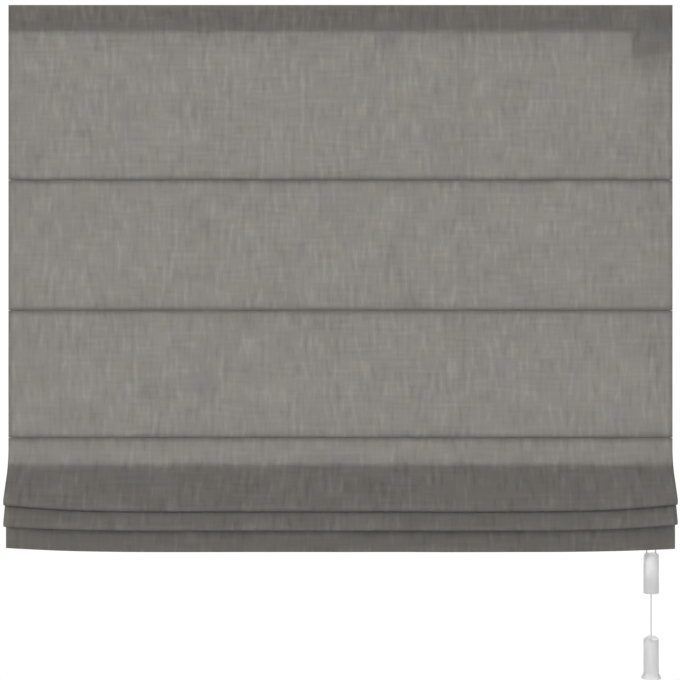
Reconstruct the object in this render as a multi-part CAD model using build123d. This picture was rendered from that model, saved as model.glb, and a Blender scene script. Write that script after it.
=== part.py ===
from build123d import *
import math
import os

# A roman blind that hangs on a wall. X runs along the rail, Y goes into the wall, Z is up.
# The origin lies on the wall, in the middle of the four screw holes.

# Running gaps and cuts
fit_gap = 0.3  # between soft or loose pieces and their seats
turn_gap = 0.15  # between flat faces that turn on each other
seat_gap = 0.05  # round a pin or rod in its hole
cut_overrun = 4.0

# Wall bracket
bracket_inset = 100.0  # cloth's side edge to the bracket's middle
bracket_width = 30.0
plate_height = 28.0
plate_thickness = 2.0
screw_spread = 16.0
screw_hole_radius = 2.25
arm_thickness = 1.6
arm_past_rivet = 9.0
arm_corner = 5.0
bend_round = 1.2

# Turn clip and its rivet
lever_length = 13.5
lever_width = 9.0
lever_thickness = 1.2
clip_disc_radius = 7.0
clip_neck_radius = 5.5
clip_head_radius = 10.0
clip_head_width = 11.6
clip_head_thickness = 1.6
rivet_radius = 2.0
rivet_head_radius = 3.6
rivet_head_height = 0.6
rivet_foot_radius = 5.5
rivet_foot_height = 0.8

# Headrail
rail_height = 28.4
rail_depth = 26.0
rail_standoff = 7.0  # wall to the back of the rail
rail_wall = 1.4
rail_lip = 1.6
rail_corner = 1.0
top_slot = 13.0
top_channel = 6.0
bottom_slot = 16.0
tape_height = 20.0
tape_thickness = 1.2
tape_recess = 0.6
tape_inset = 1.5  # below the rail's top edge
cap_thickness = 2.0
cap_plug = 5.0

# Cloth
cloth_width = 800.0
cloth_thickness = 0.7
layer_gap = 0.2  # between two layers that are sewn together
cloth_over_rail = 4.2
top_turn = 27.0  # cloth turned to the back at the top edge
turn_round_share = 0.94
head_drop = 211.0  # top edge to the first rod seam
upper_pitch = 157.0
lower_pitch = 153.5
gather_drop = 35.5  # third seam to the first gathered one
gather_pitch = 12.0
gather_reach = 3.0  # how far the layer above a gathered seam stands in front of it
lip_round = 1.2  # where the cloth turns into a seam
pocket_round_share = 0.97
rod_reach = 7.0  # front layer to the rod's axis

# Folds, hem and their lifted ends
fold_bend_rise = 5.5  # the cloth leans out from this far above the first gathered seam
fold_bend_round = 55.0
fold_one_depth = 50.0  # below the first gathered seam
fold_one_reach = 34.0
fold_one_width = 9.0
fold_two_depth = 62.0  # below the second gathered seam
fold_gap = 4.05  # between the first fold's inner layer and the second fold
fold_two_width = 6.0
fold_round_share = 0.9  # of the roundest edge that a fold's width allows
hem_depth = 88.0  # below the second gathered seam
hem_gap = 2.5  # behind the second fold's inner layer
hem_bend_rise = 16.0  # hem's turned-up edge to the bend above it
hem_bend_round = 30.0
hem_pocket = 25.0
hem_close = 5.5
hem_edge = 3.5
hem_close_round = 4.0
hem_round_share = 0.45  # of the pocket's width
bow_run = 160.0  # the fold ends lift over this width at each side
bow_spans = 2
fold_one_bow = 8.5
fold_two_bow = 6.5
hem_bow = 4.5

# Rods, bottom bar and their tips
rod_radius = 2.0
rod_inset = 5.0
tip_radius = 2.5
tip_length = 8.0
tip_end = 1.5
bar_height = 18.0
bar_thickness = 4.0
bar_inset = 8.0
bar_round_share = 0.45  # of the bar's thickness
bar_tip_length = 4.0

# Rod clips with the eyes for the lift cords
clip_wall = 1.4
clip_width = 8.0
clip_mouth_share = 0.8  # of the rod's diameter
notch_gap = 0.5
eye_bore = 1.5
eye_wall = 1.6
eye_height = 6.0
stem_width = 4.0

# Cords
cord_radius = 0.7
pull_cord_radius = 0.8
lift_left_inset = 237.0  # cloth's side edge to the cord
lift_right_inset = 252.0
draw_inset = 22.5
draw_spread = 10.8
pull_length = 52.0  # of cord in sight between connector and tassel
knot_radius = 2.2
draw_knot_radius = 1.5  # both fit side by side in the connector
knot_height = 3.2
knot_bevel_share = 0.3  # of the knot's height

# Pulleys, cord guides and pins
pulley_radius = 4.5
pulley_groove = 1.1
pulley_width = 4.4
pulley_rim = 0.6
pulley_rise = 7.9  # over the rail's lower lips
wheel_step = 3.0  # the left cord's lock wheel stands this much higher
pin_radius = 1.0
cheek_thickness = 2.4
cheek_over_pin = 3.0
pulley_side_gap = 0.4
base_thickness = 2.0
guide_length = 24.0
guide_lead = 9.0  # from the lift cord to the guide's left end
guide_nose = 2.0
cord_hole = 1.6
hole_flare = 0.8

# Cord lock
lock_width = 47.0
lock_right_inset = 1.0
lock_height = 46.0
lock_depth = 19.2
lock_front_inset = 0.4
lock_wall = 2.2
lock_taper_height = 19.0
lock_taper_depth = 8.0
lock_head_inset = 4.0
anvil_gap = 0.1
rib_count = 6
rib_depth = 0.8
rib_pitch = 2.2
pawl_width = 24.0
pawl_hub = 3.0
pawl_pin_radius = 1.25
pawl_drop = 19.0  # rail to the pawl's pin
pawl_nose_share = 0.62  # of the way from the cover to the cords
pawl_tail_height = 6.4
pawl_teeth = 6
tooth_angle = 11.0
tooth_depth = 0.7
nose_angle = 15.0
boss_radius = 3.0
boss_drop = 8.0
boss_inset = 7.4
lock_screw_radius = 1.2
lock_screw_head = 2.4
lock_screw_length = 9.0

# Connector, plug and tassel
connector_gap = 5.5  # hem to the connector's top
connector_length = 49.0
connector_radius = 9.4
clear_wall = 2.0
connector_top = 3.0
connector_shoulder = 2.4
plug_height = 19.0
plug_base = 4.0
plug_neck_radius = 2.8
tassel_length = 51.0
tassel_radius = 9.2
tassel_foot_radius = 12.0
tassel_foot_height = 6.0
tassel_top = 4.0
tassel_shoulder = 3.4

# Places along the rail that follow
side_edge = cloth_width / 2
rail_length = cloth_width - 2 * cap_thickness
bracket_spread = cloth_width - 2 * bracket_inset
bow_start = side_edge - bow_run
lift_left_x = lift_left_inset - side_edge
lift_right_x = side_edge - lift_right_inset
draw_x = side_edge - draw_inset
lock_right = side_edge - lock_right_inset
lock_left = lock_right - lock_width
rod_half = side_edge - rod_inset
bar_half = side_edge - bar_inset

# Heights and depths that follow
plate_top = plate_height / 2
arm_bottom = plate_top - arm_thickness
lever_top = arm_bottom - turn_gap
lever_bottom = lever_top - lever_thickness
rail_top = lever_bottom - turn_gap
rail_bottom = rail_top - rail_height
rail_back = -rail_standoff
rail_front = rail_back - rail_depth
cord_y = (rail_front + rail_back) / 2
upper_lip = rail_top - rail_lip
web_top = upper_lip - top_channel
web_bottom = web_top - rail_wall
lower_lip = rail_bottom + rail_lip
rail_inside = rail_depth - 2 * rail_wall
hook_front = rail_front + tape_recess - tape_thickness
loop_front = hook_front - tape_thickness
layer_step = cloth_thickness + layer_gap
inner_layer_y = loop_front - cloth_thickness / 2
cloth_y = inner_layer_y - layer_step
cloth_top = rail_top + cloth_over_rail
tape_middle = rail_top - tape_inset - tape_height / 2
rod_y = cloth_y + rod_reach
pocket_inside = tip_radius + fit_gap
pocket_line = pocket_inside + cloth_thickness / 2
seam_one = cloth_top - head_drop
seam_two = seam_one - upper_pitch
seam_three = seam_two - lower_pitch
seam_four = seam_three - gather_drop
seam_five = seam_four - gather_pitch
seams = (seam_one, seam_two, seam_three, seam_four, seam_five)
hem_bottom = seam_five - hem_depth
fold_bend = seam_four + fold_bend_rise
hem_bend_drop = hem_depth - hem_pocket - hem_close - hem_edge - hem_bend_rise
fold_two_lean = (fold_one_reach - fold_one_width - fold_gap) / fold_one_depth
fold_two_reach = fold_two_lean * (gather_pitch + fold_two_depth)
inner_lean = (fold_two_reach - fold_two_width - gather_reach) / fold_two_depth
hem_reach = gather_reach + inner_lean * hem_bend_drop - hem_gap
hem_width = bar_thickness + 2 * fit_gap + cloth_thickness
hem_y = cloth_y - hem_reach + hem_width / 2
bar_bottom = hem_bottom + cloth_thickness + hem_bow + fit_gap
groove_radius = pulley_radius - pulley_groove
wrap_radius = groove_radius + cord_radius + fit_gap
pulley_z = lower_lip + pulley_rise
lift_lines = {"left": lift_left_x, "right": lift_right_x}
draw_lines = {"left": draw_x + draw_spread / 2, "right": draw_x - draw_spread / 2}
wheel_heights = {"left": pulley_z + wheel_step, "right": pulley_z}
slot_width = pulley_width + 2 * pulley_side_gap
pin_length = slot_width + 2 * cheek_thickness
lock_front = rail_front + lock_front_inset
lock_back = lock_front + lock_depth
lock_bottom = rail_bottom - lock_height
cover_back = lock_front + lock_wall
anvil_y = cord_y + cord_radius + anvil_gap
cord_front = cord_y - cord_radius - fit_gap
pawl_y = cover_back + (cord_front - cover_back) * (1 - pawl_nose_share)
pawl_z = rail_bottom - pawl_drop
connector_z = hem_bottom - connector_gap
connector_foot = connector_z - connector_length
plug_top = connector_foot + plug_height
tassel_z = connector_foot - pull_length
tassel_foot = tassel_z - tassel_length


def block(x_span, y_span, z_span):
    """A box from its two ends along each axis."""
    size = [high - low for low, high in (x_span, y_span, z_span)]
    middle = [(low + high) / 2 for low, high in (x_span, y_span, z_span)]
    return Pos(*middle) * Box(*size)


def bar_x(x_span, y, z, radius):
    length = x_span[1] - x_span[0]
    return Pos(sum(x_span) / 2, y, z) * Rot(0, 90, 0) * Cylinder(radius, length)


def bar_y(x, y_span, z, radius):
    length = y_span[1] - y_span[0]
    return Pos(x, sum(y_span) / 2, z) * Rot(90, 0, 0) * Cylinder(radius, length)


def bar_z(x, y, z_span, radius):
    length = z_span[1] - z_span[0]
    return Pos(x, y, sum(z_span) / 2) * Cylinder(radius, length)


def along_x(profile, x_span):
    """Extrudes a profile drawn in (y, z) from one x to another."""
    return extrude(Plane.YZ.offset(x_span[0]) * profile, x_span[1] - x_span[0])


def panel(y_span, z_span):
    """A rectangle in (y, z) from its two ends each way."""
    size = (y_span[1] - y_span[0], z_span[1] - z_span[0])
    return Pos(sum(y_span) / 2, sum(z_span) / 2) * Rectangle(*size)


def turned_z(x, y, outline):
    """Revolves an outline of (radius, z) points about a vertical line."""
    face = make_face(Polyline(*outline, close=True))
    return Pos(x, y) * revolve(Plane.XZ * face, Axis.Z)


def bracket(x):
    """A bent steel strip: the wall plate with two screw holes and the arm over the rail."""
    half = bracket_width / 2
    plate = block((x - half, x + half), (-plate_thickness, 0), (-plate_top, plate_top))
    arm_end = cord_y - arm_past_rivet
    arm = block((x - half, x + half), (arm_end, 0), (arm_bottom, plate_top))
    front_corners = arm.edges().filter_by(Axis.Z).sort_by(Axis.Y)[:2]
    strip = plate + fillet(front_corners, arm_corner)
    strip -= bar_z(x, cord_y, (arm_bottom - cut_overrun, plate_top + cut_overrun), rivet_radius + seat_gap)
    for z in (-screw_spread / 2, screw_spread / 2):
        strip -= bar_y(x, (-plate_thickness - cut_overrun, cut_overrun), z, screw_hole_radius)
    outer_bend = strip.edges().filter_by(Axis.X).group_by(Axis.Y)[-1].sort_by(Axis.Z)[-1]
    return fillet(outer_bend, bend_round)


def turn_clip(x):
    """A lever above the rail's lips and an oblong head that catches under them."""
    head_top = upper_lip - turn_gap
    head_bottom = head_top - clip_head_thickness
    lever = block(
        (x - lever_length, x),
        (cord_y - lever_width / 2, cord_y + lever_width / 2),
        (lever_bottom, lever_top),
    )
    lever_end = lever.edges().filter_by(Axis.Z).sort_by(Axis.X)[:2]
    body = fillet(lever_end, lever_width / 3)
    body += bar_z(x, cord_y, (lever_bottom, lever_top), clip_disc_radius)
    body += bar_z(x, cord_y, (head_bottom, lever_bottom), clip_neck_radius)
    across = block(
        (x - clip_head_width / 2, x + clip_head_width / 2),
        (cord_y - clip_head_radius, cord_y + clip_head_radius),
        (head_bottom, head_top),
    )
    body += across & bar_z(x, cord_y, (head_bottom, head_top), clip_head_radius)
    bore = bar_z(x, cord_y, (head_bottom - cut_overrun, lever_top + cut_overrun), rivet_radius + seat_gap)
    return body - bore


def clip_rivet(x):
    foot_top = upper_lip - turn_gap - clip_head_thickness - turn_gap
    foot_bottom = foot_top - rivet_foot_height
    rivet = bar_z(x, cord_y, (foot_bottom, plate_top), rivet_radius)
    rivet += bar_z(x, cord_y, (plate_top, plate_top + rivet_head_height), rivet_head_radius)
    return rivet + bar_z(x, cord_y, (foot_bottom, foot_top), rivet_foot_radius)


def rail_outline():
    outer = panel((rail_front, rail_back), (rail_bottom, rail_top))
    return fillet(outer.vertices(), rail_corner)


def rail_channels(shrink):
    """The rail's two inner channels, top and bottom, smaller all round by shrink."""
    y_span = (cord_y - rail_inside / 2 + shrink, cord_y + rail_inside / 2 - shrink)
    top = panel(y_span, (web_top + shrink, upper_lip - shrink))
    bottom = panel(y_span, (lower_lip + shrink, web_bottom - shrink))
    return top, bottom


def headrail():
    """An aluminium extrusion, open at the top for the brackets and below for the cord parts."""
    top, bottom = rail_channels(0)
    profile = rail_outline() - top - bottom
    profile -= panel((cord_y - top_slot / 2, cord_y + top_slot / 2), (upper_lip, rail_top))
    profile -= panel((cord_y - bottom_slot / 2, cord_y + bottom_slot / 2), (rail_bottom, lower_lip))
    profile -= panel(
        (rail_front, rail_front + tape_recess),
        (tape_middle - tape_height / 2 - seat_gap, tape_middle + tape_height / 2 + seat_gap),
    )
    return along_x(profile, (-rail_length / 2, rail_length / 2))


def end_cap(side):
    """A plate on the rail's end with two plugs that fill the channels."""
    end = side * rail_length / 2
    outside = sorted((end, end + side * cap_thickness))
    inside = sorted((end, end - side * cap_plug))
    cap = along_x(rail_outline(), outside)
    for plug in rail_channels(fit_gap):
        cap += along_x(plug, inside)
    return cap


def tape(front):
    return along_x(
        panel(
            (front, front + tape_thickness),
            (tape_middle - tape_height / 2, tape_middle + tape_height / 2),
        ),
        (-rail_length / 2, rail_length / 2),
    )


def pocket_height(reach):
    """Half the height of the seam's pocket where its layer, led in from reach, clears the rod."""
    start = layer_step / 2
    run = rod_reach + reach
    slope = math.asin(pocket_line / math.hypot(run, start)) - math.atan2(start, run)
    return start + (run + pocket_line) * math.tan(slope)


def seam_corners(z, reach):
    """A rod pocket: in at the upper lip, round the rod and out at the lower lip."""
    back = rod_y + pocket_line
    pocket_round = pocket_line * pocket_round_share
    return [
        (cloth_y - reach, z + layer_step / 2, lip_round),
        (back, z + pocket_height(reach), pocket_round),
        (back, z - pocket_height(0), pocket_round),
        (cloth_y, z - layer_step / 2, lip_round),
    ]


def fold_corners(z, reach, width, top_out, top_in):
    """The bottom edge of a fold whose outer layer comes from top_out and inner one goes to top_in."""
    lean_out = math.atan2(reach, top_out - z)
    lean_in = math.atan2(reach - width - gather_reach, top_in - z)
    turns = math.tan((math.pi / 2 + lean_out) / 2) + math.tan((math.pi / 2 - lean_in) / 2)
    edge_round = width / turns * fold_round_share
    return [(cloth_y - reach, z, edge_round), (cloth_y - reach + width, z, edge_round)]


def cloth_corners(lift):
    """The cloth's middle line from the top edge to the hem, each corner with its radius.

    lift is 0 where the folds hang lowest and 1 at the side edges.
    """
    top = cloth_top - cloth_thickness / 2
    turn_round = layer_step / 2 * turn_round_share
    corners = [
        (inner_layer_y, cloth_top - top_turn, 0),
        (inner_layer_y, top, turn_round),
        (cloth_y, top, turn_round),
    ]
    for z in seams[:3]:
        corners += seam_corners(z, 0)
    corners += [(cloth_y, fold_bend, fold_bend_round)]
    fold_one = seam_four - fold_one_depth + cloth_thickness / 2 + fold_one_bow * lift
    corners += fold_corners(fold_one, fold_one_reach, fold_one_width, fold_bend, seam_four)
    corners += seam_corners(seam_four, gather_reach)
    fold_two = seam_five - fold_two_depth + cloth_thickness / 2 + fold_two_bow * lift
    corners += fold_corners(fold_two, fold_two_reach, fold_two_width, seam_four, seam_five)
    corners += seam_corners(seam_five, gather_reach)
    front = cloth_y - hem_reach
    hem = hem_bottom + cloth_thickness / 2 + hem_bow * lift
    sewn = hem + hem_pocket + hem_close
    hem_round = hem_width * hem_round_share
    corners += [
        (front, seam_five - hem_bend_drop, hem_bend_round),
        (front, hem, hem_round),
        (front + hem_width, hem, hem_round),
        (front + hem_width, hem + hem_pocket, hem_close_round),
        (front + layer_step, sewn, hem_close_round),
        (front + layer_step, sewn + hem_edge, 0),
    ]
    return corners


def side_line(corners, offset):
    """The middle line moved sideways by offset, its corner radii changed to suit."""
    points = [Vector(y, z) for y, z, _ in corners]
    ways = [(b - a).normalized() for a, b in zip(points, points[1:])]
    normals = [Vector(-way.Y, way.X) for way in ways]
    moved = [points[0] + normals[0] * offset]
    radii = []
    for i in range(1, len(points) - 1):
        before, after = normals[i - 1], normals[i]
        moved.append(points[i] + (before + after) * (offset / (1 + before.dot(after))))
        turn = math.copysign(1, ways[i - 1].cross(ways[i]).Z)
        radii.append(corners[i][2] - turn * offset)
    moved.append(points[-1] + normals[-1] * offset)
    return FilletPolyline(*moved, radius=radii)


def cloth_section(lift):
    corners = cloth_corners(lift)
    left = side_line(corners, cloth_thickness / 2)
    right = side_line(corners, -cloth_thickness / 2)
    ends = [Line(left @ 0, right @ 0), Line(left @ 1, right @ 1)]
    return make_face(left.edges() + right.edges() + ends)


def cloth():
    """One sheet with its rod pockets, two hanging folds and the hem, its fold ends lifted."""
    steps = range(bow_spans, -1, -1)
    stations = [(-bow_start - bow_run * i / bow_spans, (i / bow_spans) ** 2) for i in steps]
    stations += [(-x, lift) for x, lift in reversed(stations)]
    sections = [Plane.YZ.offset(x) * cloth_section(lift) for x, lift in stations]
    sheet = loft(sections, ruled=True)
    notch_front = rod_y - rod_radius - seat_gap - clip_wall - notch_gap
    notch_half = clip_width / 2 + notch_gap
    for x in lift_lines.values():
        for z in seams:
            sheet -= block(
                (x - notch_half, x + notch_half),
                (notch_front, rod_y + pocket_line + cloth_thickness),
                (z - gather_pitch / 2, z + gather_pitch / 2),
            )
    return sheet


def rod(z):
    return bar_x((-rod_half, rod_half), rod_y, z, rod_radius)


def rod_tips(z):
    """The pair of plastic tips on one rod's ends."""
    tips = []
    for side in (-1, 1):
        span = sorted((side * (rod_half + tip_end), side * (rod_half + tip_end - tip_length)))
        tip = bar_x(span, rod_y, z, tip_radius)
        outer_rim = tip.edges().sort_by(Axis.X)[0 if side < 0 else -1]
        tip = chamfer(outer_rim, tip_end / 2)
        tips.append(tip - bar_x((-rod_half, rod_half), rod_y, z, rod_radius + seat_gap))
    return tips


def bar_profile():
    middle = Pos(hem_y, bar_bottom + bar_height / 2)
    return middle * RectangleRounded(bar_thickness, bar_height, bar_thickness * bar_round_share)


def bottom_bar():
    return along_x(bar_profile(), (-bar_half, bar_half))


def bar_tip(side):
    span = sorted((side * bar_half, side * (bar_half + bar_tip_length)))
    tip = along_x(bar_profile(), span)
    outer_rim = tip.faces().sort_by(Axis.X)[0 if side < 0 else -1].edges()
    return fillet(outer_rim, bar_thickness / 4)


def rod_clip(x, z):
    """A clip that snaps on the rod from behind, with an upright eye for the lift cord."""
    bore = rod_radius + seat_gap
    outer = bore + clip_wall
    x_span = (x - clip_width / 2, x + clip_width / 2)
    hook = bar_x(x_span, rod_y, z, outer)
    eye_radius = eye_bore + eye_wall
    hook += block(
        (x - stem_width / 2, x + stem_width / 2),
        (rod_y + rod_radius, cord_y),
        (z - clip_wall, z + clip_wall),
    )
    hook += bar_z(x, cord_y, (z - eye_height / 2, z + eye_height / 2), eye_radius)
    hook -= bar_x((x - clip_width, x + clip_width), rod_y, z, bore)
    mouth = rod_radius * clip_mouth_share
    hook -= block((x - clip_width, x + clip_width), (rod_y - outer, rod_y), (z - mouth, z + mouth))
    hook -= bar_z(x, cord_y, (z - eye_height, z + eye_height), eye_bore)
    eye_rims = hook.edges().filter_by(GeomType.CIRCLE).filter_by(lambda e: e.radius < rod_radius)
    return chamfer(eye_rims, eye_wall / 4)


def knot(x, top, radius):
    bead = bar_z(x, cord_y, (top - knot_height, top), radius)
    return chamfer(bead.edges().filter_by(GeomType.CIRCLE), knot_height * knot_bevel_share)


def lift_run(side):
    """The lift cord's line from its knot, over the guide pulley, along the rail and into the lock."""
    start, end = lift_lines[side], draw_lines[side]
    run = (end - wrap_radius) - (start + wrap_radius)
    slope = (wheel_heights[side] - pulley_z) / run
    over = wrap_radius * math.hypot(1, slope)
    knot_z = seam_five - eye_height / 2
    return FilletPolyline(
        (start, cord_y, knot_z),
        (start, cord_y, pulley_z + over - slope * wrap_radius),
        (end, cord_y, wheel_heights[side] + over + slope * wrap_radius),
        (end, cord_y, lock_bottom),
        radius=wrap_radius,
    )


def cord(line, radius):
    start = Plane(line @ 0, z_dir=line % 0)
    return sweep(start * Circle(radius), path=line)


def pulley(x, z):
    """A small grooved wheel turned about a line along Y."""
    half = pulley_width / 2
    floor = half - pulley_rim - pulley_groove / 2
    bore = pin_radius + seat_gap
    outline = [
        (bore, -half),
        (pulley_radius, -half),
        (pulley_radius, pulley_rim - half),
        (groove_radius, -floor),
        (groove_radius, floor),
        (pulley_radius, half - pulley_rim),
        (pulley_radius, half),
        (bore, half),
    ]
    wheel = revolve(Plane.XZ * make_face(Polyline(*outline, close=True)), Axis.Z)
    return Pos(x, cord_y, z) * Rot(90, 0, 0) * wheel


def pulley_pin(x, z):
    return bar_y(x, (cord_y - pin_length / 2, cord_y + pin_length / 2), z, pin_radius)


def cheeks(x_span, z_top):
    """Two upright walls beside a pulley, on the plate that sits on the rail's lower lips."""
    plate = block(
        x_span,
        (cord_y - rail_inside / 2 + fit_gap, cord_y + rail_inside / 2 - fit_gap),
        (lower_lip, lower_lip + base_thickness),
    )
    for side in (-1, 1):
        near, far = side * slot_width / 2, side * pin_length / 2
        plate += block(x_span, sorted((cord_y + near, cord_y + far)), (lower_lip, z_top))
    return plate


def neck(x_span, z_bottom):
    """The part of a fitting that passes down through the rail's lower slot."""
    half = bottom_slot / 2 - fit_gap
    return block(x_span, (cord_y - half, cord_y + half), (z_bottom, lower_lip))


def pin_hole(x, z):
    return bar_y(x, (cord_y - rail_depth, cord_y + rail_depth), z, pin_radius)


def cord_guide(side):
    """A moulded guide that sits in the rail above one lift cord and carries its pulley."""
    x = lift_lines[side]
    x_span = (x - guide_lead, x - guide_lead + guide_length)
    nose = rail_bottom - guide_nose
    body = cheeks(x_span, pulley_z + cheek_over_pin) + neck(x_span, nose)
    cheek_tops = body.edges().filter_by(Axis.Y).group_by(Axis.Z)[-1]
    body = fillet(cheek_tops, cheek_thickness)
    body -= pin_hole(x + wrap_radius, pulley_z)
    body -= bar_z(x, cord_y, (nose - cut_overrun, pulley_z), cord_hole)
    mouth = body.faces().sort_by(Axis.Z)[0].edges().filter_by(GeomType.CIRCLE)
    return chamfer(mouth, hole_flare)


def lock_side():
    """The lock's side view: upright behind, tapered back at the lower front."""
    return make_face(
        Polyline(
            (lock_front, rail_bottom),
            (lock_front, lock_bottom + lock_taper_height),
            (lock_front + lock_taper_depth, lock_bottom),
            (lock_back, lock_bottom),
            (lock_back, rail_bottom),
            close=True,
        )
    )


def boss_places():
    z = rail_bottom - boss_drop
    return [(lock_left + boss_inset, z), (lock_right - boss_inset, z)]


def screw_hole(x, z, radius):
    return bar_y(x, (lock_front - cut_overrun, lock_front + lock_screw_length), z, radius)


def lock_cover():
    """The bent plate that closes the lock's front."""
    plate = along_x(lock_side() - Pos(lock_wall, 0) * lock_side(), (lock_left, lock_right))
    for x, z in boss_places():
        plate -= screw_hole(x, z, lock_screw_radius + seat_gap)
    return plate


def lock_screws():
    screws = []
    for x, z in boss_places():
        shank = bar_y(x, (lock_front, lock_front + lock_screw_length - seat_gap), z, lock_screw_radius)
        head = bar_y(x, (rail_front, lock_front), z, lock_screw_head)
        screws.append(shank + head)
    return screws


def lock_body():
    """The lock's moulding: head in the rail, neck, side walls, and the ribbed wall behind the cords."""
    shell = along_x(lock_side() & Pos(lock_wall, 0) * lock_side(), (lock_left, lock_right))
    inside_x = (lock_left + lock_wall, lock_right - lock_wall)
    shell -= block(
        inside_x,
        (lock_front, anvil_y),
        (lock_bottom - cut_overrun, rail_bottom - lock_wall),
    )
    shell -= block(
        inside_x,
        (anvil_y + lock_wall, lock_back + cut_overrun),
        (lock_bottom - cut_overrun, rail_bottom - lock_wall),
    )
    cords_x = (draw_lines["right"] - cord_hole, draw_lines["left"] + cord_hole)
    head_x = (lock_left + lock_head_inset, rail_length / 2 - cap_plug - fit_gap)
    shell += cheeks(head_x, wheel_heights["left"] + cheek_over_pin) + neck(head_x, rail_bottom)
    shell -= block(
        cords_x,
        (cord_y - slot_width / 2, anvil_y),
        (rail_bottom - lock_wall - cut_overrun, pulley_z),
    )
    for i in range(rib_count):
        z = pawl_z - (i - rib_count / 2) * rib_pitch
        shell -= bar_x(inside_x, anvil_y, z, rib_depth)
    for x, z in boss_places():
        shell += bar_y(x, (cover_back, anvil_y + lock_wall), z, boss_radius)
        shell -= screw_hole(x, z, lock_screw_radius + seat_gap)
    for side, x in draw_lines.items():
        shell -= pin_hole(x - wrap_radius, wheel_heights[side])
    shell -= bar_x((lock_left - cut_overrun, lock_right + cut_overrun), pawl_y, pawl_z, pawl_pin_radius)
    return shell


def lock_pawl():
    """A cam on its pin: a toothed nose that meets the cords and a tail that keeps it against them."""
    flat = cord_front - pawl_y
    reach = flat / math.cos(math.radians(nose_angle))
    points = []
    for i in range(pawl_teeth):
        angle = math.radians((i - pawl_teeth + 1) * tooth_angle)
        valley = angle + math.radians(tooth_angle / 2)
        tip = min(reach, flat / math.cos(angle))
        for turn, radius in ((angle, tip), (valley, tip - tooth_depth)):
            points.append((pawl_y + radius * math.cos(turn), pawl_z + radius * math.sin(turn)))
    points.append((pawl_y, pawl_z + pawl_hub))
    points.append((pawl_y - pawl_hub, pawl_z))
    profile = make_face(Polyline(*points, close=True))
    profile += Pos(pawl_y, pawl_z) * Circle(pawl_hub)
    tail_end = cover_back + fit_gap
    profile += panel((tail_end, pawl_y), (pawl_z, pawl_z + pawl_tail_height))
    profile -= Pos(pawl_y, pawl_z) * Circle(pawl_pin_radius + seat_gap)
    return along_x(profile, (draw_x - pawl_width / 2, draw_x + pawl_width / 2))


def pawl_pin():
    return bar_x((lock_left, lock_right), pawl_y, pawl_z, pawl_pin_radius)


def draw_cord(side):
    x = draw_lines[side]
    return cord(Line((x, cord_y, lock_bottom), (x, cord_y, connector_z - connector_top)), cord_radius)


def connector_sleeve():
    """A clear tube with a shouldered top that the two draw cords enter."""
    inner = connector_radius - clear_wall
    sleeve = turned_z(
        draw_x,
        cord_y,
        [
            (0, connector_z),
            (connector_radius - connector_shoulder, connector_z),
            (connector_radius, connector_z - connector_shoulder),
            (connector_radius, connector_foot),
            (inner, connector_foot),
            (inner, connector_z - connector_top),
            (0, connector_z - connector_top),
        ],
    )
    hole_span = (connector_z - cut_overrun, connector_z + cut_overrun)
    for x in draw_lines.values():
        sleeve -= bar_z(x, cord_y, hole_span, cord_radius + fit_gap)
    return sleeve


def connector_plug():
    """The cone inside the sleeve's lower half that the pull cord hangs through."""
    bore = pull_cord_radius + fit_gap
    base = connector_radius - clear_wall - turn_gap
    return turned_z(
        draw_x,
        cord_y,
        [
            (bore, connector_foot),
            (base, connector_foot),
            (base, connector_foot + plug_base),
            (plug_neck_radius, plug_top),
            (bore, plug_top),
        ],
    )


def pull_cord():
    return cord(Line((draw_x, cord_y, plug_top), (draw_x, cord_y, tassel_z - tassel_top)), pull_cord_radius)


def tassel():
    """A clear bell on the pull cord's end, open below, with a flared foot."""
    inner = tassel_radius - clear_wall
    bore = pull_cord_radius + fit_gap
    foot_top = tassel_foot + tassel_foot_height
    return turned_z(
        draw_x,
        cord_y,
        [
            (bore, tassel_z),
            (tassel_radius - tassel_shoulder, tassel_z),
            (tassel_radius, tassel_z - tassel_shoulder),
            (tassel_radius, foot_top),
            (tassel_foot_radius, tassel_foot + clear_wall / 2),
            (tassel_foot_radius, tassel_foot),
            (tassel_foot_radius - clear_wall, tassel_foot),
            (inner, foot_top - clear_wall),
            (inner, tassel_z - tassel_top),
            (bore, tassel_z - tassel_top),
        ],
    )


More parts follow.
